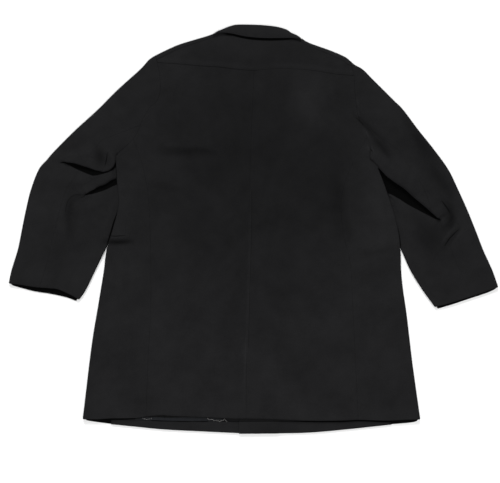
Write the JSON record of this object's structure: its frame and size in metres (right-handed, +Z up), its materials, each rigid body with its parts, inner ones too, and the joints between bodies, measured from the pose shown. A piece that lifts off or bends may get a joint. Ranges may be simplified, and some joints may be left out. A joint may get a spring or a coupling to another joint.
{
  "type": "overcoat laid flat",
  "caption": "Wool overcoat laid out flat on its front: panelled back with a shoulder yoke, folded side panels, creased two-piece sleeves and a turned-down collar.",
  "frame": {"origin": "centre of the coat's bounding box, on the surface it lies on", "axes": "+X towards the wearer's right sleeve, +Y from the hem to the collar, +Z up from the surface"},
  "size_m": [1.198, 1, 0.0174],
  "materials": {
    "wool": "napped melton wool, near black charcoal",
    "collar_wool": "the same melton wool, doubled and pressed",
    "lining": "thin smooth black lining"
  },
  "bodies": {
    "root": {"back_yoke": "wool", "back_left": "wool", "back_right": "wool", "side_left": "wool", "side_right": "wool", "front_left": "wool", "front_right": "wool", "sleeve_left_top": "wool", "sleeve_left_under": "wool", "sleeve_right_top": "wool", "sleeve_right_under": "wool", "collar": "collar_wool", "collar_stand_left": "collar_wool", "collar_stand_right": "collar_wool", "lining": "lining"}
  },
  "joints": []
}
